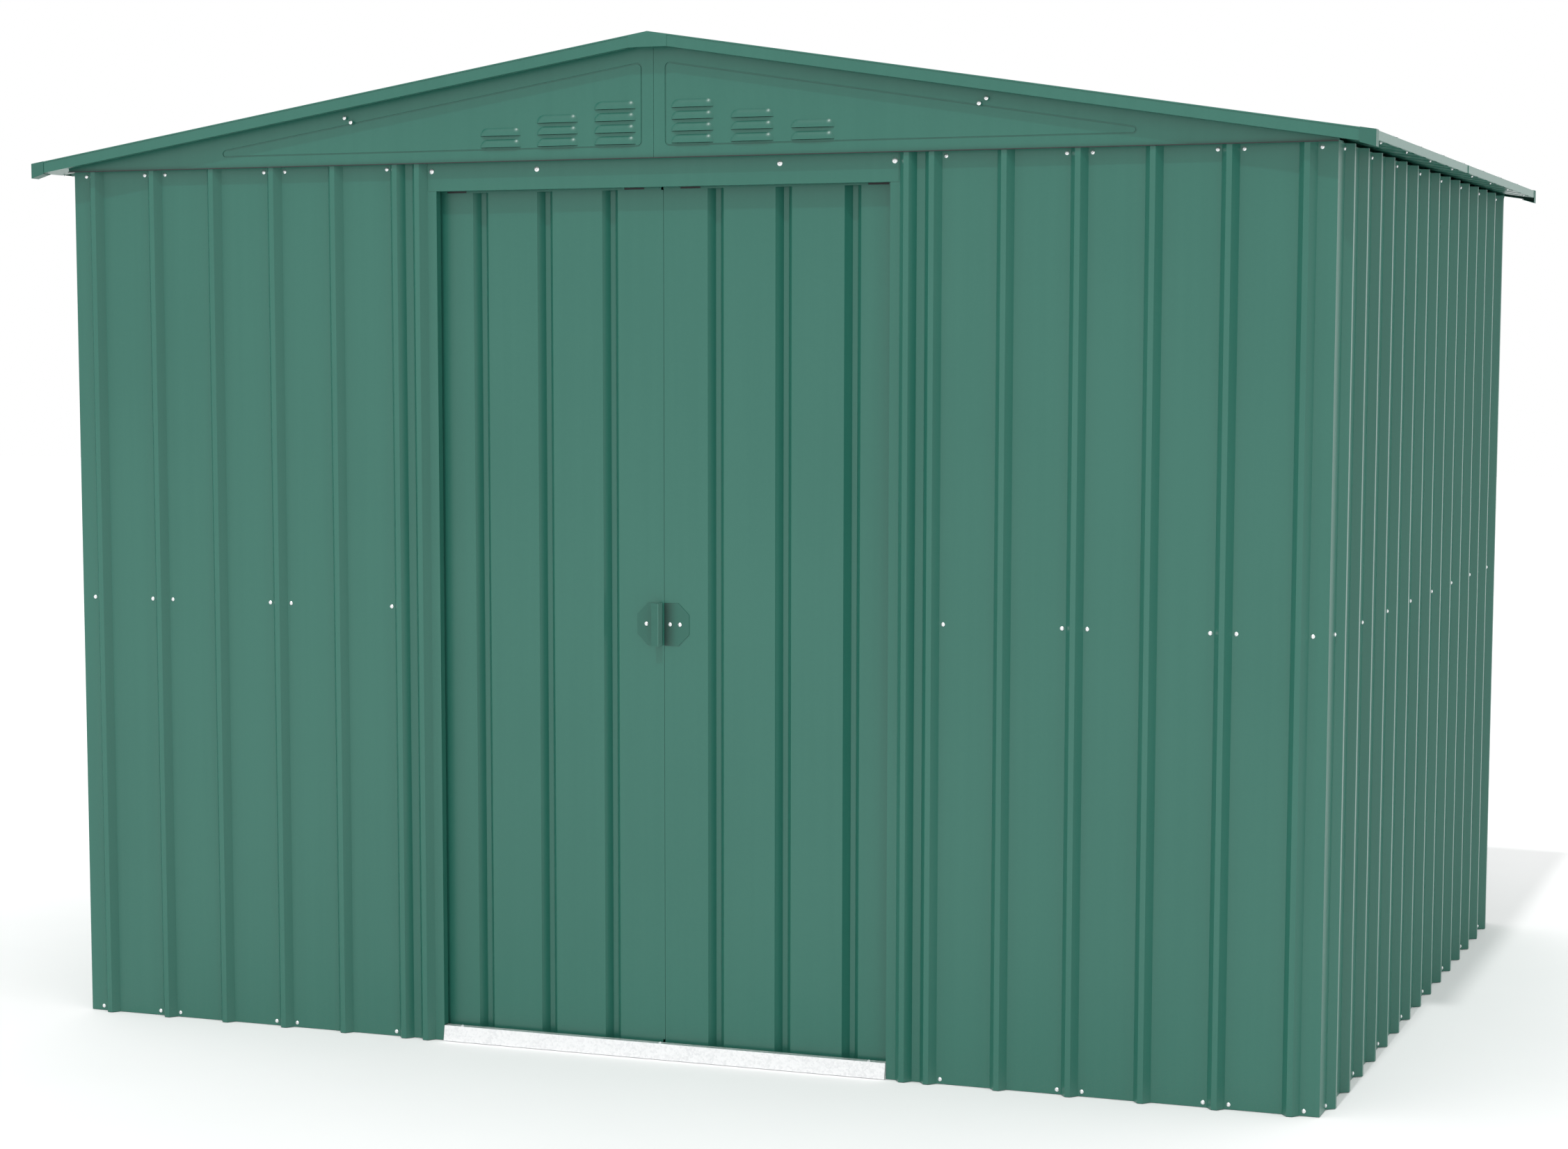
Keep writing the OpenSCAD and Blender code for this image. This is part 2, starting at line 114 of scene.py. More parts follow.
# %% [markdown]
# ## Studio
# A white dome of light wraps the shed, so that glossy paint mirrors white at its grazing
# faces and every recess darkens by itself. One weak sun from the front gives each edge a
# faint, fairly sharp shadow that falls straight down. A second, very wide sun stands
# behind the right-hand wall. That wall is seen so flat that light from the front slides
# off it, and only light from behind glances off it towards the camera. The view stays on
# the Standard transform, so a colour in a material is the colour that is seen.

# %% Dome, sun and floor
DOME_WHITE = (1.0, 1.0, 1.0, 1.0)
DOME_STRENGTH = 1.0
FLOOR_REACH = 30.0
FLOOR_DROP = 1 * MM

scene = bpy.context.scene
scene.view_settings.view_transform = "Standard"

world = bpy.data.worlds.new("dome")
world.use_nodes = True
dome = world.node_tree.nodes["Background"]
dome.inputs["Color"].default_value = DOME_WHITE
dome.inputs["Strength"].default_value = DOME_STRENGTH
scene.world = world


def add_sun(name, strength, width, turn, glint=1.0):
    """Adds a sun: its strength, its width and turn in degrees, and its share of glints."""
    data = bpy.data.lights.new(name, "SUN")
    data.energy = strength
    data.angle = math.radians(width)
    data.specular_factor = glint
    light = bpy.data.objects.new(name, data)
    light.rotation_euler = turned(turn)
    scene.collection.objects.link(light)


add_sun("sun", strength=0.9, width=1.8, turn=(33.0, 0.0, 0.0), glint=0.15)
add_sun("side_light", strength=0.2, width=50.0, turn=(74.0, 0.0, 146.0))

floor_corners = [(x * FLOOR_REACH, y * FLOOR_REACH, -FLOOR_DROP)
                 for x, y in ((-1, -1), (1, -1), (1, 1), (-1, 1))]
floor_mesh = bpy.data.meshes.new("floor")
floor_mesh.from_pydata(floor_corners, [], [(0, 1, 2, 3)])
floor = bpy.data.objects.new("floor", floor_mesh)
scene.collection.objects.link(floor)
print("studio: dome, two suns and floor")

# %% [markdown]
# ## Shader maths
# A material is a graph of nodes, and graphs are slow to write one link at a time. The
# class below wraps a socket, so that a plain expression such as `1 - mask * 0.5` adds the
# Math nodes for it. Colours keep to Mix nodes, because a Math node would turn them grey.

# %% Socket wrapper


class Wire:
    """One output socket of a material's graph, with arithmetic."""

    def __init__(self, tree, socket):
        self.tree, self.socket = tree, socket

    def node(self, kind, settings=None, **inputs):
        """Adds a node of that kind, sets it up, fills its inputs and returns an output.

        An input is named, or numbered as i0, i1 and so on. The setting "output" picks the
        output by number, and otherwise it is the first.
        """
        made = self.tree.nodes.new(kind)
        for name, value in (settings or {}).items():
            if name != "output":
                setattr(made, name, value)
        for name, value in inputs.items():
            numbered = name[0] == "i" and name[1:].isdigit()
            key = int(name[1:]) if numbered else name.replace("_", " ")
            if isinstance(value, Wire):
                self.tree.links.new(value.socket, made.inputs[key])
            else:
                made.inputs[key].default_value = value
        return Wire(self.tree, made.outputs[(settings or {}).get("output", 0)])

    def maths(self, operation, first, second=0.0):
        return self.node("ShaderNodeMath", {"operation": operation}, i0=first, i1=second)

    def __add__(self, other):
        return self.maths("ADD", self, other)

    def __sub__(self, other):
        return self.maths("SUBTRACT", self, other)

    def __rsub__(self, other):
        return self.maths("SUBTRACT", other, self)

    def __mul__(self, other):
        return self.maths("MULTIPLY", self, other)

    def __truediv__(self, other):
        return self.maths("DIVIDE", self, other)

    __radd__, __rmul__ = __add__, __mul__

    def above(self, limit):
        return self.maths("GREATER_THAN", self, limit)

    def below(self, limit):
        return self.maths("LESS_THAN", self, limit)

    def root(self):
        return self.maths("SQRT", self)

    def clamped(self):
        return self.node("ShaderNodeClamp", Value=self)

    def mixed(self, low, high):
        """The colour between low and high that this number picks."""
        return self.node("ShaderNodeMix", {"data_type": "RGBA", "output": 2},
                         i0=self, i6=low, i7=high)

    def stepped(self, low, high):
        """0 below low, 1 above high and a soft step between."""
        return self.node("ShaderNodeMapRange", {"interpolation_type": "SMOOTHSTEP"},
                         Value=self, From_Min=low, From_Max=high)


def split(place):
    """The x, y and z numbers of a vector wire."""
    parts = place.tree.nodes.new("ShaderNodeSeparateXYZ")
    place.tree.links.new(place.socket, parts.inputs[0])
    return [Wire(place.tree, output) for output in parts.outputs]


def noise(place, scale, detail):
    """A noise pattern: its patches a metre, and how many finer layers it has."""
    return place.node("ShaderNodeTexNoise", Vector=place, Scale=scale, Detail=detail)


def drawn_noise(place, scale, detail):
    """The same, drawn out by a scale along each axis."""
    drawn = place.node("ShaderNodeMapping", Vector=place, Scale=scale)
    return noise(drawn, 1.0, detail)


def bumped(height, distance, strength, **under):
    """The normals of a height pattern, on top of an earlier bump if one is given."""
    return height.node("ShaderNodeBump", Height=height, Distance=distance, Strength=strength,
                       **under)


def new_material(name):
    """A material's name, its graph's start wire on object coordinates, and its shader node."""
    material = bpy.data.materials.new(name)
    material.use_nodes = True
    tree = material.node_tree
    place = Wire(tree, tree.nodes.new("ShaderNodeTexCoord").outputs["Object"])
    return material, place, tree.nodes["Principled BSDF"]


def feed(place, shader, **links):
    """Links wires to the shader's inputs."""
    for name, wire in links.items():
        place.tree.links.new(wire.socket, shader.inputs[name.replace("_", " ")])


print("socket wrapper ready")

# %% [markdown]
# ## Floor paint
# The studio floor is matt and nearly white. It throws light back under the eaves.

# %% Floor material
FLOOR_WHITES = (0.95, 0.95, 0.95, 1.0), (0.98, 0.98, 0.98, 1.0)
FLOOR_ROUGH = 0.9

floor_paint, place, shader = new_material("studio_floor")
feed(place, shader, Base_Color=noise(place, 3.0, 2.0).mixed(*FLOOR_WHITES))
shader.inputs["Roughness"].default_value = FLOOR_ROUGH
shader.inputs["Specular IOR Level"].default_value = 0.0
floor_mesh.materials.append(floor_paint)
print("floor painted")

# %% [markdown]
# ## Coil-coated green sheet
# The sheets are painted in one long coil before they are bent, so the coat is very even: a
# satin green with an orange-peel skin about a millimetre across, and cloudy patches that
# are barely there. Thin sheet also never lies quite flat, so a broad, shallow bump lets
# the reflections wander as they do on real panels. A little dust gathers near the ground.
# Scratches and rust would be easy, but a new shed has none.

# %% Green coating
GREEN = (0.0170, 0.1310, 0.0950, 1.0)
GREEN_PALE = (0.0215, 0.1410, 0.1030, 1.0)
GREEN_DUSTY = (0.0600, 0.1500, 0.1150, 1.0)
GREEN_ROUGH = 0.29
COAT_IOR = 1.56
DUST_TOP = 0.16
SHEET_WAVE, PEEL = 0.5 * MM, 0.02 * MM


def green_coating(name, roughness):
    """A coat with cloudy tones, dust near the ground and an orange-peel skin on wavy sheet."""
    material, place, shader = new_material(name)
    clouds = noise(place, 1.7, 3.0)
    mottle = noise(place, 160.0, 2.0)
    streaks = drawn_noise(place, (60.0, 60.0, 1.2), 2.0)
    tone = (clouds * 0.5 + mottle * 0.2 + streaks * 0.3).stepped(0.35, 0.65)
    coat = tone.mixed(GREEN, GREEN_PALE)

    speckle = noise(place, 420.0, 3.0)
    low_down = 1 - split(place)[2].stepped(0.0, DUST_TOP)
    dust = (low_down * low_down * speckle.stepped(0.42, 0.75) * 0.35).clamped()

    skin = noise(place, 850.0, 1.0)
    bends = bumped(drawn_noise(place, (5.0, 5.0, 1.6), 1.0), SHEET_WAVE, 0.5)
    feed(place, shader, Base_Color=dust.mixed(coat, GREEN_DUSTY),
         Roughness=roughness + mottle * 0.06 + dust * 0.3,
         Normal=bumped(skin, PEEL, 0.5, Normal=bends))
    shader.inputs["IOR"].default_value = COAT_IOR
    return material


GREEN_PAINT = green_coating("painted_green", GREEN_ROUGH)
print("painted_green has", len(GREEN_PAINT.node_tree.nodes), "nodes")

# %% [markdown]
# ## Galvanised sheet
# Hot-dipped zinc cools into flat crystals, the spangle, that each mirror a little
# differently. Voronoi cells give every crystal its own tint and roughness, and fine
# lines drawn along the strip stand for the mill's rollers. The metal stays bright, because
# fresh zinc in a white room is nearly white.

# %% Galvanised steel
ZINC_DARK = (0.80, 0.81, 0.82, 1.0)
ZINC_PALE = (0.93, 0.935, 0.94, 1.0)
ZINC_METALLIC = 0.9
ZINC_RELIEF = 0.03 * MM


def galvanised(name, spangle_scale, roughness):
    """Zinc with its crystals, roller lines and smudges."""
    material, place, shader = new_material(name)
    cells = place.node("ShaderNodeTexVoronoi", {"output": 1}, Vector=place, Scale=spangle_scale)
    tint = place.node("ShaderNodeSeparateColor", Color=cells)
    rollers = drawn_noise(place, (6.0, 900.0, 900.0), 2.0)
    smudges = noise(place, 9.0, 4.0)
    bright = (tint * 0.5 + rollers * 0.2 + smudges * 0.5).stepped(0.15, 0.75)
    feed(place, shader, Base_Color=bright.mixed(ZINC_DARK, ZINC_PALE),
         Roughness=roughness + tint * 0.12 + smudges * 0.08,
         Normal=bumped(rollers + tint * 0.5, ZINC_RELIEF, 0.5))
    shader.inputs["Metallic"].default_value = ZINC_METALLIC
    return material


SHEET_ZINC = galvanised("galvanised_steel", 260.0, 0.40)
SCREW_ZINC = galvanised("zinc_plated_screws", 900.0, 0.24)
print("galvanised steel and zinc plate ready")

# %% [markdown]
# ## Mouldings and rubber
# The hangers are black nylon: a matt moulding with a faint spark-eroded grain. The door
# plates and the corner caps are mouldings too, in a green a shade deeper than the paint,
# because dye in plastic never matches a coat. The right-hand plate has a painted shadow
# beside the pull, and the pull's face has a painted highlight. The washers under the roof's
# screws, the foam under the ridge cap and the tape under the gables are a softer, greyer
# rubber. The tape's dark edge is painted shade: it is the shadow line under each gable.

# %% Mouldings and rubber
PLATE_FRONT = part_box("door_handle_right")[0].y
PULL_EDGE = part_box("door_handle_left")[1].x - 0.6 * MM
GRAIN_RELIEF = 0.04 * MM
# Painted light on the door handle: a dark painted shadow beside the pull and a pale painted
# highlight on the pull.
PAINTED_SHADOW_DARK = (0.004, 0.018, 0.014, 1.0)
PAINTED_HIGHLIGHT_PALE = (0.110, 0.270, 0.220, 1.0)
PLATE_GREENS = (0.016, 0.112, 0.082, 1.0), (0.022, 0.124, 0.092, 1.0)
NYLON_BLACKS = (0.010, 0.010, 0.012, 1.0), (0.022, 0.022, 0.024, 1.0)
RUBBER_BLACKS = (0.020, 0.020, 0.021, 1.0), (0.045, 0.045, 0.046, 1.0)


def moulded(name, dark, pale, grain_scale, roughness, shade=None):
    """A moulding's finish. A shade changes its colour with the place."""
    material, place, shader = new_material(name)
    grain = noise(place, grain_scale, 3.0)
    colour = noise(place, 60.0, 3.0).mixed(dark, pale)
    if shade:
        colour = shade(place, colour)
    feed(place, shader, Base_Color=colour, Roughness=roughness + grain * 0.2,
         Normal=bumped(grain, GRAIN_RELIEF, 0.6))
    return material


def pull_shadow_and_highlight(place, colour):
    """Painted shadow on the right-hand plate beside the pull, and a pale painted highlight on
    the pull's inner face.
    """
    x, y, _ = split(place)
    right = x.above(0.0)
    # Painted shadow: darkest at the pull, gone 34 mm to its right.
    pull_shadow = (1 - x.stepped(-6 * MM, 34 * MM)) * right * 0.95
    # Painted highlight on the pull's inner face.
    pull_highlight_mask = (1 - right) * x.above(PULL_EDGE) * y.below(PLATE_FRONT - MM)
    return pull_highlight_mask.mixed(pull_shadow.mixed(colour, PAINTED_SHADOW_DARK), PAINTED_HIGHLIGHT_PALE)


NYLON = moulded("black_nylon", *NYLON_BLACKS, 1500.0, 0.42)
CAP_GREEN = moulded("cap_moulding", *PLATE_GREENS, 1200.0, 0.34)
# The plate moulding carries the painted shadow and painted highlight at the pull.
PLATE_GREEN = moulded("plate_moulding", *PLATE_GREENS, 1200.0, 0.34, shade=pull_shadow_and_highlight)
RUBBER = moulded("washer_rubber", *RUBBER_BLACKS, 900.0, 0.60)
print("nylon, green mouldings and rubber ready")

# %% [markdown]
# ## Paint the frame
# Each node of the frame keeps its mesh and only gets a better material, picked by the
# material slot that the record gives it.

# %% Finishes by slot
MOULDINGS = {"door_handle": PLATE_GREEN, "corner_cap": CAP_GREEN}
FINISHES = {"painted_green": GREEN_PAINT, "galvanised_steel": SHEET_ZINC,
            "black_plastic": NYLON}
slot_of = {part["node"]: part["material_slot"] for part in frame["record"]["subparts"]}
for name, part in frame["nodes"].items():
    part.data.materials.clear()
    part.data.materials.append(FINISHES[slot_of[name]])
    for start, paint in MOULDINGS.items():
        if name.startswith(start):
            part.data.materials[0] = paint
print("painted", len(slot_of), "nodes")

# %% [markdown]
# ## Geometry Nodes for what repeats
# Hundreds of screws hold the sheets together. One head is made once, and Geometry Nodes
# puts a copy on every point of a small mesh that holds only places and the way each one
# faces. The group has named inputs, so one tree serves large and small heads. At the end
# the copies are made real and kept as a plain mesh, because other programs that read the
# shed know nothing of instances.

# %% Node group helper


class Group:
    """A Geometry Nodes tree with named inputs, which grows its copies on a mesh of points."""

    def __init__(self, name, **sizes):
        self.tree = bpy.data.node_groups.new(name, "GeometryNodeTree")
        face = self.tree.interface
        face.new_socket("Points", in_out="INPUT", socket_type="NodeSocketGeometry")
        for label, value in sizes.items():
            kind = "NodeSocketInt" if isinstance(value, int) else "NodeSocketFloat"
            socket = face.new_socket(label.replace("_", " "), in_out="INPUT", socket_type=kind)
            socket.default_value = value
        face.new_socket("Mesh", in_out="OUTPUT", socket_type="NodeSocketGeometry")
        self.start = self.tree.nodes.new("NodeGroupInput")

    def input(self, label):
        return Wire(self.tree, self.start.outputs[label])

    def finish(self, wire, material):
        """Ends the tree with Realize Instances and Set Material."""
        real = wire.node("GeometryNodeRealizeInstances", i0=wire)
        done = real.node("GeometryNodeSetMaterial", Geometry=real, Material=material)
        end = self.tree.nodes.new("NodeGroupOutput")
        self.tree.links.new(done.socket, end.inputs[0])


def shown(name, mesh, body):
    """Puts a finished mesh into the scene as a piece that rides on a body."""
    piece = bpy.data.objects.new(name, mesh)
    bpy.context.scene.collection.objects.link(piece)
    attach(piece, body)
    print(name, "has", len(mesh.polygons), "faces and rides on", body)
    return piece


def grown(name, spots, group, body="shed", slot="galvanised_steel", **sizes):
    """Grows a group on spots, each a place and the way it faces, and keeps the plain result."""
    points = bpy.data.meshes.new(name + "_points")
    points.from_pydata([place for place, facing in spots], [], [])
    layer = points.attributes.new("facing", "FLOAT_VECTOR", "POINT")
    layer.data.foreach_set("vector", [value for place, facing in spots for value in facing])
    maker = bpy.data.objects.new(name + "_maker", points)
    bpy.context.scene.collection.objects.link(maker)
    modifier = maker.modifiers.new("grow", "NODES")
    modifier.node_group = group.tree
    for socket in group.tree.interface.items_tree:
        label = socket.name.replace(" ", "_")
        if socket.in_out == "INPUT" and label in sizes:
            modifier[socket.identifier] = sizes[label]
    ready = maker.evaluated_get(bpy.context.evaluated_depsgraph_get())
    mesh = bpy.data.meshes.new_from_object(ready)
    maker.modifiers.clear()
    bpy.data.objects.remove(maker)
    print(name, "grew on", len(spots), "spots")
    return shown(name, mesh, body)


def turned_out(stem, shape, seed):
    """Copies a shape onto every point, faces it along the point's way and spins it."""
    facing = stem.node("GeometryNodeInputNamedAttribute", {"data_type": "FLOAT_VECTOR"},
                       Name="facing")
    turn = stem.node("FunctionNodeAlignRotationToVector", {"axis": "Z"}, Vector=facing)
    placed = stem.node("GeometryNodeInstanceOnPoints", Points=stem, Instance=shape,
                       Rotation=turn)
    spin = stem.node("FunctionNodeRandomValue", {"data_type": "FLOAT", "output": 1},
                     i2=0.0, i3=math.tau, Seed=seed)
    return stem.node("GeometryNodeRotateInstances", Instances=placed,
                     Rotation=stem.node("ShaderNodeCombineXYZ", Z=spin), Local_Space=True)


LOWER_CAP = -0.4


def stub(stem, sides, radius, tall, rings=1):
    """A cylinder from z 0 up to tall, without its hidden lower cap."""
    can = stem.node("GeometryNodeMeshCylinder", {"fill_type": "TRIANGLE_FAN"}, Vertices=sides,
                    Side_Segments=1, Fill_Segments=rings, Radius=radius, Depth=tall)
    z = split(can.node("GeometryNodeInputPosition"))[2]
    open_can = can.node("GeometryNodeDeleteGeometry", {"domain": "FACE"}, Geometry=can,
                        Selection=(z / tall).below(LOWER_CAP))
    return can.node("GeometryNodeTransform", Geometry=open_can,
                    Translation=can.node("ShaderNodeCombineXYZ", Z=tall * 0.5))


print("node group helper ready")

# %% [markdown]
# ## Pan-head screw
# A self-drilling screw has a pan head: a low dome with a recess for the driver. The head
# starts as a cylinder whose top cap has three rings. Set Position gives every ring the
# height of a dome at its distance from the middle, and sinks the middle for the recess.
# Each copy is spun by a seeded random angle, because no fitter lines the recesses up.

# %% Screw tree
HEAD_SIDES = 12
HEAD_RINGS = 3
RIM_DROP = 0.62
RECESS_DEPTH = 0.35


def screw_tree(material):
    group = Group("pan_head", Head_Diameter=8 * MM, Head_Height=2.6 * MM, Recess=0.3, Seed=1)
    stem = group.input("Points")
    radius = group.input("Head Diameter") * 0.5
    tall = group.input("Head Height")
    can = stub(stem, HEAD_SIDES, radius, tall, HEAD_RINGS)
    x, y, z = split(can.node("GeometryNodeInputPosition"))
    share = ((x * x + y * y).root() / radius).clamped()
    sunk = 1 - share.stepped(0.0, group.input("Recess"))
    dome_height = (1 - share * share * RIM_DROP - sunk * RECESS_DEPTH) * tall
    head = can.node("GeometryNodeSetPosition", Geometry=can,
                    Position=can.node("ShaderNodeCombineXYZ", X=x, Y=y,
                                      Z=dome_height * z.above(0.1 * MM)))
    group.finish(turned_out(stem, head, group.input("Seed")), material)
    return group


SCREW = screw_tree(SCREW_ZINC)
print("screw tree has", len(SCREW.tree.nodes), "nodes")

# %% [markdown]
# ## Wall screws
# Three rows of screws tie each wall to its rails: at the foot, at mid-height and under the
# roof. A screw stands on the flat beside a rib, where the driver reaches it. The places
# follow from the ribs: both sides of every second rib on the front and the back, and one
# side of every second rib on the side walls. The same list places the nuts inside.

# %% Screw places on the walls
FOOT_ROW, TOP_ROW_DROP = 9 * MM, 9.6 * MM
ROWS = (FOOT_ROW, wall_top / 2, wall_top - TOP_ROW_DROP)
OUT = {"front": (0, -1, 0), "back": (0, 1, 0), "right": (1, 0, 0), "left": (-1, 0, 0)}
END_RIB, LAST_RIB, DOOR_RIB = 9, 8, 4

beside_front = [DOOR_RIB * RIB_PITCH + SCREW_BESIDE, END_RIB * RIB_PITCH + SCREW_BESIDE]
for rib in range(DOOR_RIB + 2, LAST_RIB + 1, 2):
    beside_front += [rib * RIB_PITCH - SCREW_BESIDE, rib * RIB_PITCH + SCREW_BESIDE]
beside_back = beside_front + [DOOR_RIB * RIB_PITCH - SCREW_BESIDE, SCREW_BESIDE]
for rib in range(2, DOOR_RIB, 2):
    beside_back += [rib * RIB_PITCH - SCREW_BESIDE, rib * RIB_PITCH + SCREW_BESIDE]
beside_side = [rib * RIB_PITCH - SCREW_BESIDE for rib in range(-7, 8, 2)]


def wall_spots(inward=0.0):
    """Places of the wall screws, moved in from the outer face, each with the way out."""
    spots = []
    for z in ROWS:
        for side in (-1, 1):
            spots += [((side * x, -half_d + inward, z), OUT["front"]) for x in beside_front]
            spots += [((side * x, half_d - inward, z), OUT["back"]) for x in beside_back]
            way_out = OUT["right" if side > 0 else "left"]
            spots += [((side * (half_w - inward), y, z), way_out) for y in beside_side]
    return spots


grown("wall_screws", wall_spots(), SCREW)

# %% [markdown]
# ## Larger screws on the header and gables
# Four bigger bolts hold the track behind the header, and a pair on each gable half holds
# the roof beam's end. The front gable hides its pair close under the roof.

# %% Header, gable and threshold screws
header_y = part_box("door_header")[0].y
gable_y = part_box("front_gable_right")[0].y
sill_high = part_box("door_threshold")[1]

BOLT_DROP = 16.1 * MM
BOLT_PLACES = (-0.484, -0.254, 0.254, 0.484)
GABLE_PLACES = ((0.667, 1.8615), (0.653, 1.8525))
SILL_PLACES = (-0.437, 0.0, 0.438)
SILL_EDGE = 8 * MM

header_spots = [((x, header_y, wall_top - BOLT_DROP), OUT["front"]) for x in BOLT_PLACES]
grown("header_bolts", header_spots, SCREW,
      Head_Diameter=10.5 * MM, Head_Height=3.4 * MM, Seed=2)

gable_spots = []
for x, z in GABLE_PLACES:
    for side in (-1, 1):
        gable_spots.append(((side * x, gable_y, z), OUT["front"]))
        gable_spots.append(((side * x, -gable_y, z), OUT["back"]))
grown("gable_screws", gable_spots, SCREW, Seed=3)

sill_spots = [((x, sill_high.y - SILL_EDGE, sill_high.z), (0, 0, 1)) for x in SILL_PLACES]
grown("threshold_screws", sill_spots, SCREW, Seed=4)

# %% [markdown]
# ## Handle and hanger screws
# These ride on the doors. Each handle plate has two screws. Each nylon hanger has two more,
# which come through the channel along the leaf's top edge, on its inner side.

# %% Door screws
plate_z = sum(corner.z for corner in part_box("door_handle_right")) / 2
PLATE_PLACES = (14.5 * MM, 35.5 * MM)
HANGER_HALF = 20.7 * MM
HANGER_SPREAD = 11 * MM
HANGER_SCREW_UP = 9 * MM

for body, side, hand in (("left_door", -1, "left"), ("right_door", 1, "right")):
    spots = [((side * x, PLATE_FRONT, plate_z), OUT["front"]) for x in PLATE_PLACES]
    grown("handle_screws_" + hand, spots, SCREW, body=body,
          Head_Diameter=8.2 * MM, Head_Height=2.8 * MM, Seed=5)
    low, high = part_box("door_hangers_" + hand)
    inner_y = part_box("door_channels_" + hand)[1].y
    spots = [((middle + way * HANGER_SPREAD, inner_y, low.z + HANGER_SCREW_UP), OUT["back"])
             for middle in (low.x + HANGER_HALF, high.x - HANGER_HALF) for way in (-1, 1)]
    grown("hanger_screws_" + hand, spots, SCREW, body=body, Seed=9)

# %% [markdown]
# ## Nuts inside
# Every wall screw ends in a nut behind the rail, with a little thread standing out. A hex
# nut is a cylinder with six sides, and the thread is a thin one with eight.

# %% Nut tree


def nut_tree(material):
    group = Group("hex_nut", Across=8 * MM, Thickness=3.2 * MM, Thread=5.5 * MM, Seed=1)
    stem = group.input("Points")
    nut = stub(stem, 6, group.input("Across") * 0.55, group.input("Thickness"))
    thread = stub(stem, 8, group.input("Across") * 0.27, group.input("Thread"))
    both = nut.node("GeometryNodeJoinGeometry")
    for part in (nut, thread):
        nut.tree.links.new(part.socket, both.socket.node.inputs[0])
    group.finish(turned_out(stem, both, group.input("Seed")), material)
    return group


NUT = nut_tree(SCREW_ZINC)
RAIL_FACE = 2 * SHEET
inner_spots = [(place, tuple(-way for way in facing))
               for place, facing in wall_spots(RAIL_FACE)]
grown("wall_nuts", inner_spots, NUT, Seed=6)

# %% [markdown]
# ## Roof screws and washers
# Roof screws have a rubber washer, so that rain can't follow the thread. They stand in the
# flats beside the ribs over each roof beam, and on the crests where the ridge cap and the
# eave trims lie on the ribs. A washer is a short, flat cylinder. Under the eaves, small
# nuts close the ends of the screws that hold the roof sheets' edge.

# %% Washer tree and roof screws
SLOPE_OUT = (math.sin(ROOF_SLOPE), 0.0, math.cos(ROOF_SLOPE))
CREST = (RIB_HEIGHT + SHEET) / math.cos(ROOF_SLOPE) + 0.6 * MM
TRIM = 2 * SHEET / math.cos(ROOF_SLOPE)
roof_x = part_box("right_eave_front")[1].x
verge_y = -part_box("front_verge_right")[0].y


def washer_tree(material):
    group = Group("rubber_washer", Diameter=13 * MM, Thickness=1.6 * MM, Seed=1)
    stem = group.input("Points")
    disc = stub(stem, 12, group.input("Diameter") * 0.5, group.input("Thickness"), 2)
    group.finish(turned_out(stem, disc, group.input("Seed")), material)
    return group


def roof_spot(side, x, y, height):
    """A place on the roof, at a height over the roof sheet's underside, and the way out."""
    return (side * x, y, roof_under(x) + height), (side * SLOPE_OUT[0], 0.0, SLOPE_OUT[2])


BEAM_X = half_w / 2 + 12 * MM
TRIM_X = (26 * MM, roof_x - 13 * MM)
ON_SHEET, UNDER_SHEET = 0.4 * MM, 0.3 * MM
WASHER_THICK = 1.6 * MM

crest_y = [rib * RIB_PITCH for rib in range(-6, 7, 2)]
roof_spots = []
for side in (-1, 1):
    roof_spots += [roof_spot(side, BEAM_X, y, SHEET + ON_SHEET) for y in beside_side]
    roof_spots += [roof_spot(side, x, y, CREST + TRIM) for y in crest_y for x in TRIM_X]

grown("roof_washers", roof_spots, washer_tree(RUBBER), slot="black_plastic",
      Thickness=WASHER_THICK)
raised = [(tuple(a + WASHER_THICK * b for a, b in zip(place, way)), way)
          for place, way in roof_spots]
grown("roof_screws", raised, SCREW, Head_Diameter=8.5 * MM, Head_Height=3 * MM, Seed=7)

nut_x = roof_x - 9 * MM
eave_spots = []
for side in (-1, 1):
    way_down = (-side * SLOPE_OUT[0], 0.0, -SLOPE_OUT[2])
    eave_spots += [((side * nut_x, y, roof_under(nut_x) + UNDER_SHEET), way_down)
                   for y in beside_side]
grown("eave_nuts", eave_spots, NUT, Across=5 * MM, Thickness=1.4 * MM, Thread=3 * MM, Seed=8)

# %% [markdown]
# ## Hem on the meeting edge
# A thin sheet's edge is folded back on itself, which makes it safe and stiff. The left
# leaf's hem reaches over the running gap, so only a fine line shows between closed doors.
# It is a rounded strip, swept along the leaf's edge with bmesh.

# %% Meeting hem
leaf_low, leaf_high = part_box("door_leaf_left")
HEM_REACH, HEM_ROUND = 4.4 * MM, 0.4 * MM
CHANNEL = 19 * MM


def prism(name, outline, spot, ends, body="shed", material=GREEN_PAINT):
    """A strip: an outline of pairs, put in place by spot(pair, end) at both ends."""
    work = bmesh.new()
    low, high = [[work.verts.new(spot(pair, end)) for pair in outline] for end in ends]
    for i, j in zip(range(len(outline)), list(range(1, len(outline))) + [0]):
        work.faces.new((low[i], low[j], high[j], high[i]))
    work.faces.new(low)
    work.faces.new(high)
    bmesh.ops.recalc_face_normals(work, faces=work.faces)
    mesh = bpy.data.meshes.new(name)
    work.to_mesh(mesh)
    work.free()
    mesh.materials.append(material)
    return shown(name, mesh, body)


nose = leaf_high.x + HEM_REACH
face_y = leaf_low.y
hem = [(leaf_high.x, face_y), (nose - HEM_ROUND, face_y), (nose, face_y + SHEET / 2),
       (nose - HEM_ROUND, face_y + SHEET), (leaf_high.x, face_y + SHEET)]
prism("meeting_hem", hem, lambda pair, z: (pair[0], pair[1], z),
      (leaf_low.z + CHANNEL, leaf_high.z - CHANNEL), body="left_door")

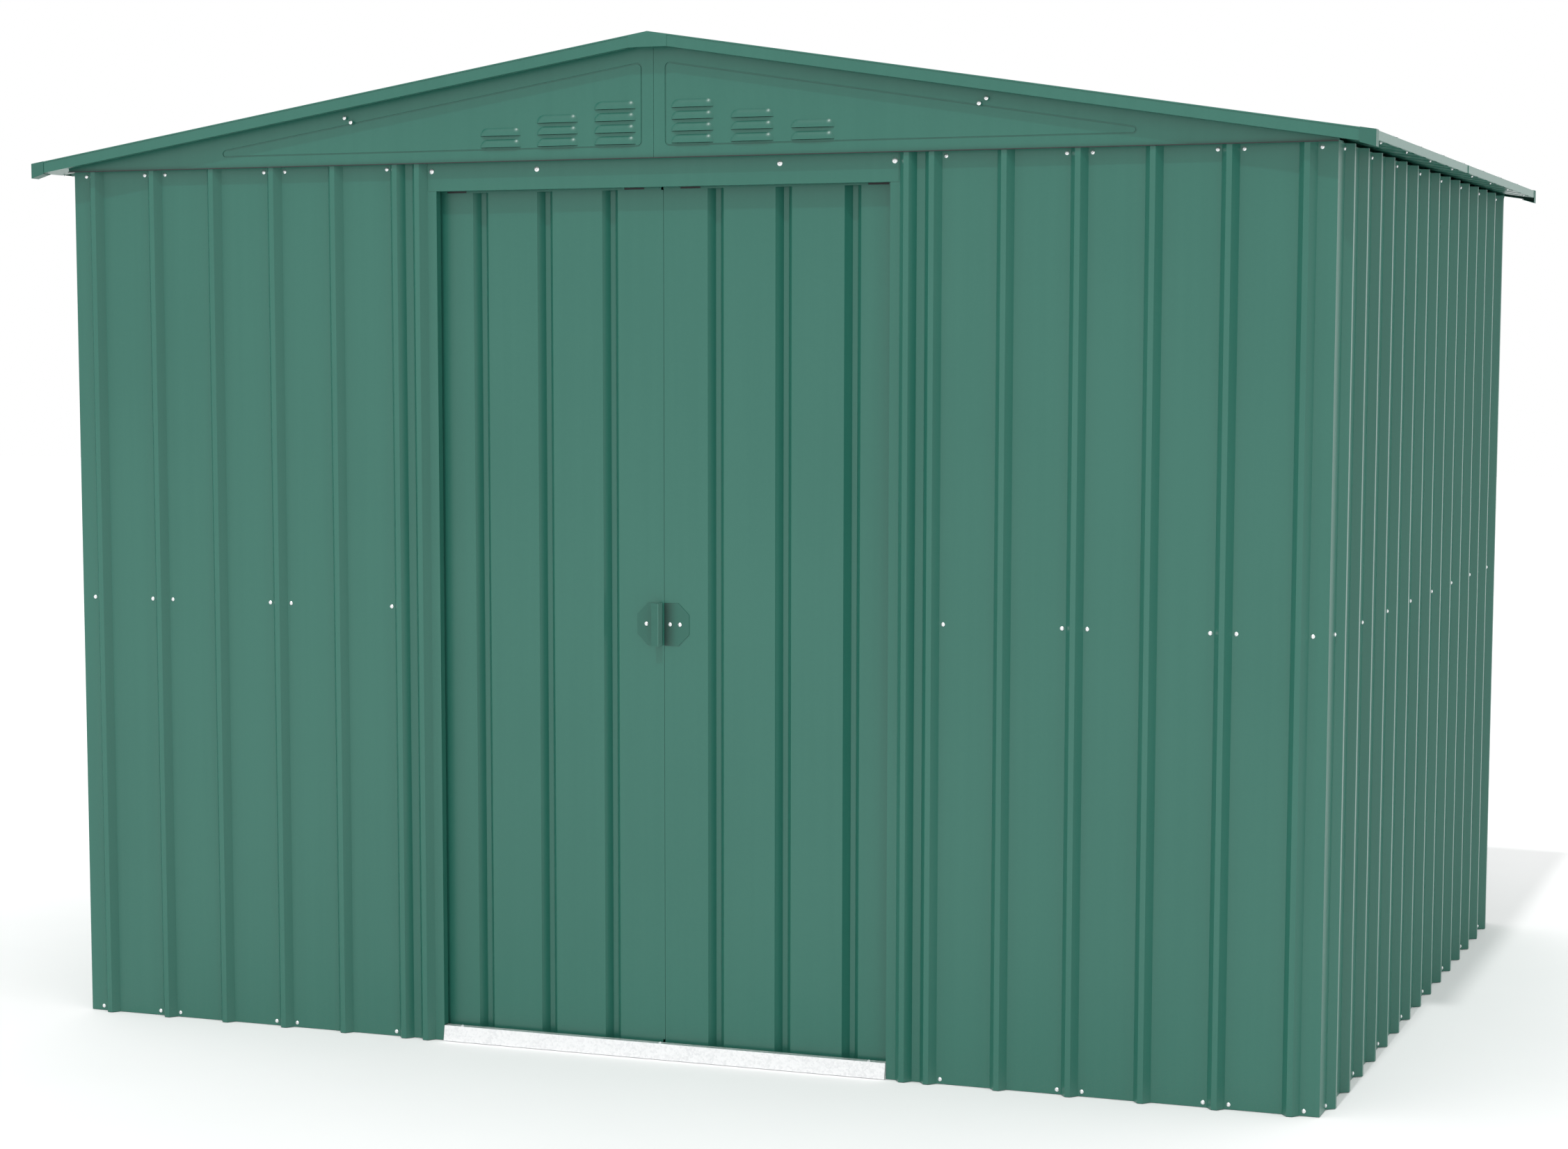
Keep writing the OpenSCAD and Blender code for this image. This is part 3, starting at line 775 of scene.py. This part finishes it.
# %% [markdown]
# ## Rolled edges on the verges
# The upper edge of a verge trim is rolled, so that nobody cuts a hand on it. The roll is
# thinner than a match, yet it shows, because its round back always finds a spot that
# mirrors the sky. An outline of ten sides, swept down the slope, is round enough.

# %% Rolled edges
ROLL, ROLL_SIDES = 1.5 * MM, 10
cap_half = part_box("ridge_cap")[1].x
verge_top = CREST + TRIM / 2 - 0.5 * MM
verge_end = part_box("corner_cap_front_right")[0].x
corners = [math.tau * i / ROLL_SIDES for i in range(ROLL_SIDES)]
ring = [(ROLL * math.cos(angle), ROLL * math.sin(angle)) for angle in corners]

for side, hand in ((-1, "left"), (1, "right")):
    for end, wall in ((-1, "front"), (1, "back")):
        prism("verge_roll_" + wall + "_" + hand, ring,
              lambda pair, x: (side * x, end * verge_y + pair[0],
                               roof_under(x) + verge_top + pair[1]),
              (cap_half, verge_end))

# %% [markdown]
# ## Laps on the eave trims
# Each eave trim comes in two lengths. Where they meet at mid-depth, a short strip of the
# same sheet laps over the joint, so that its front edge shows as a thin line.

# %% Eave laps
LAP_WIDE, LAP_THICK = 34 * MM, 1.3 * MM
LAP_HIGH, LAP_FACE = 16.4 * MM, 16 * MM
LAP_START = -2 * MM
eave_low, eave_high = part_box("right_eave_front")
for side, hand in ((-1, "left"), (1, "right")):
    near, far = side * eave_high.x, side * (eave_high.x + LAP_THICK)
    skirt = [(near, eave_low.z), (near, eave_low.z + LAP_HIGH),
             (far, eave_low.z + LAP_FACE), (far, eave_low.z)]
    prism("eave_lap_" + hand, skirt, lambda pair, y: (pair[0], y, pair[1]),
          (LAP_START, LAP_WIDE + LAP_START))

# %% [markdown]
# ## Foam under the ridge cap
# The ridge cap lies on the ribs' crests, so wind and wasps could pass under it over the
# flats between them. A strip of closed-cell foam fills that space on each side. On a
# real roof it is cut to the ribs. Here one straight strip passes through them, unseen.

# %% Ridge foam
FOAM_NEAR, FOAM_FAR = 8 * MM, 34 * MM
for side, hand in ((-1, "left"), (1, "right")):
    foam = [(side * x, roof_under(x) + height) for x, height in
            ((FOAM_NEAR, MM), (FOAM_FAR, MM), (FOAM_FAR, CREST), (FOAM_NEAR, CREST))]
    prism("ridge_foam_" + hand, foam, lambda pair, y: (pair[0], y, pair[1]),
          (SHEET - verge_y + MM, verge_y - SHEET - MM), material=RUBBER)

# %% [markdown]
# ## Butyl tape as painted shade under the gables
# Rain blown against a gable would creep in over the wall's top. A strip of butyl tape is
# squeezed in that joint. Its edge shows as a dark line, which is painted shade: the dark
# strip stands in for the shadow under the gable's lower edge.

# %% Butyl tape standing in for the shadow line under the gables
TAPE = 1.4 * MM
TAPE_DEEP = 6 * MM
gable_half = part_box("front_gable_right")[1].x
tape = [(0.3 * MM, 0.0), (TAPE_DEEP, 0.0), (TAPE_DEEP, -TAPE), (0.6 * MM, -TAPE)]
# Painted shade: this dark rubber strip gives the shadow line under each gable.
for end, wall in ((1, "front"), (-1, "back")):
    prism("butyl_tape_" + wall, tape,
          lambda pair, x: (x, end * (gable_y + pair[0]), wall_top + pair[1]),
          (-gable_half + MM, gable_half - MM), material=RUBBER)
